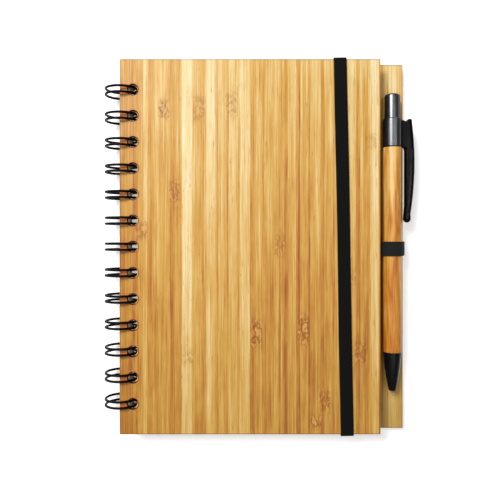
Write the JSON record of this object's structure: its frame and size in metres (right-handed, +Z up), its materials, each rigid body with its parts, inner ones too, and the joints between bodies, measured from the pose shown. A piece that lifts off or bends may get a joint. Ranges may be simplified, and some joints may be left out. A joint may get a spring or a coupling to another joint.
{
  "type": "pocket notebook",
  "caption": "Twin-loop bound pocket notebook with bamboo boards, an elastic closing band and a bamboo click pen held in an elastic loop.",
  "frame": {"origin": "centre of the base: middle of the width and of the height of the closed notebook with its pen, level with the lowest point of the wire", "axes": "+X from the wire towards the pen, +Y to the head of the page, +Z up out of the front board"},
  "size_m": [0.1524, 0.1838, 0.0167],
  "materials": {
    "bamboo": "satin lacquered bamboo, edge-grain strips",
    "bamboo_barrel": "satin turned bamboo",
    "wire": "black nylon coated steel wire",
    "paper": "uncoated",
    "elastic": "woven elastic",
    "nickel": "nickel plated",
    "chrome": "satin chrome",
    "black_plastic": "semi-gloss moulded",
    "inner_plastic": "moulded",
    "brass": "turned",
    "steel": "plain"
  },
  "bodies": {
    "notebook": {"back_cover": "bamboo", "wire_binding": "wire", "rear_pages": "paper", "pen_loop": "elastic", "loop_rivet": "nickel", "band_rivets": "nickel"},
    "cover": {"front_cover": "bamboo"},
    "leaves": {"front_pages": "paper"},
    "leaf": {"loose_leaf": "paper"},
    "band": {"elastic_band": "elastic"},
    "pen": {"pen_barrel": "bamboo_barrel", "pen_ferrule": "chrome", "joint_ring": "black_plastic", "tip_cone": "black_plastic", "front_insert": "inner_plastic", "rear_insert": "inner_plastic", "cam_sleeve": "inner_plastic", "pen_spring": "steel"},
    "clip": {"pen_clip": "black_plastic"},
    "button": {"push_button": "chrome", "plunger": "inner_plastic"},
    "refill": {"refill_tube": "inner_plastic", "refill_tip": "brass", "writing_ball": "steel"},
    "rotor": {"cam_rotor": "inner_plastic"}
  },
  "joints": [
    {"name": "cover_swing", "type": "hinge", "parent": "notebook", "child": "cover", "pos_m": [-0.06792, 0, 0.00844], "axis": [0, -1, 0], "range_deg": [0, 180]},
    {"name": "leaves_turn", "type": "hinge", "parent": "notebook", "child": "leaves", "pos_m": [-0.06792, 0, 0.00844], "axis": [0, -1, 0], "range_deg": [0, 180]},
    {"name": "leaf_turn", "type": "hinge", "parent": "notebook", "child": "leaf", "pos_m": [-0.06792, 0, 0.00844], "axis": [0, -1, 0], "range_deg": [0, 175]},
    {"name": "band_pull", "type": "slide", "parent": "notebook", "child": "band", "axis": [0.985, 0, 0.1725], "range_m": [0, 0.042], "deforming": ["elastic_band"]},
    {"name": "pen_pull", "type": "slide", "parent": "notebook", "child": "pen", "axis": [0, 1, 0], "range_m": [0, 0.08]},
    {"name": "button_press", "type": "slide", "parent": "pen", "child": "button", "axis": [0, -1, 0], "range_m": [0, 0.005], "stiffness_N_per_m": 250, "springref_m": -0.004, "deforming": ["pen_spring"]},
    {"name": "refill_slide", "type": "slide", "parent": "pen", "child": "refill", "axis": [0, -1, 0], "range_m": [0, 0.005]},
    {"name": "rotor_turn", "type": "hinge", "parent": "refill", "child": "rotor", "pos_m": [0.06542, 0.04, 0.00984], "axis": [0, 1, 0], "range_deg": [0, 45]},
    {"name": "clip_flex", "type": "hinge", "parent": "pen", "child": "clip", "pos_m": [0.07032, 0.0615, 0.00984], "axis": [0, 0, 1], "range_deg": [0, 4], "stiffness_Nm_per_rad": 0.4, "springref_deg": -2.86}
  ],
  "couplings": [
    {"joint": "leaves_turn", "follows": "cover_swing", "ratio": 1},
    {"joint": "leaf_turn", "follows": "cover_swing", "ratio": 0.97},
    {"joint": "refill_slide", "follows": "button_press", "ratio": 1},
    {"joint": "rotor_turn", "follows": "button_press", "rad_per_m": 157}
  ]
}
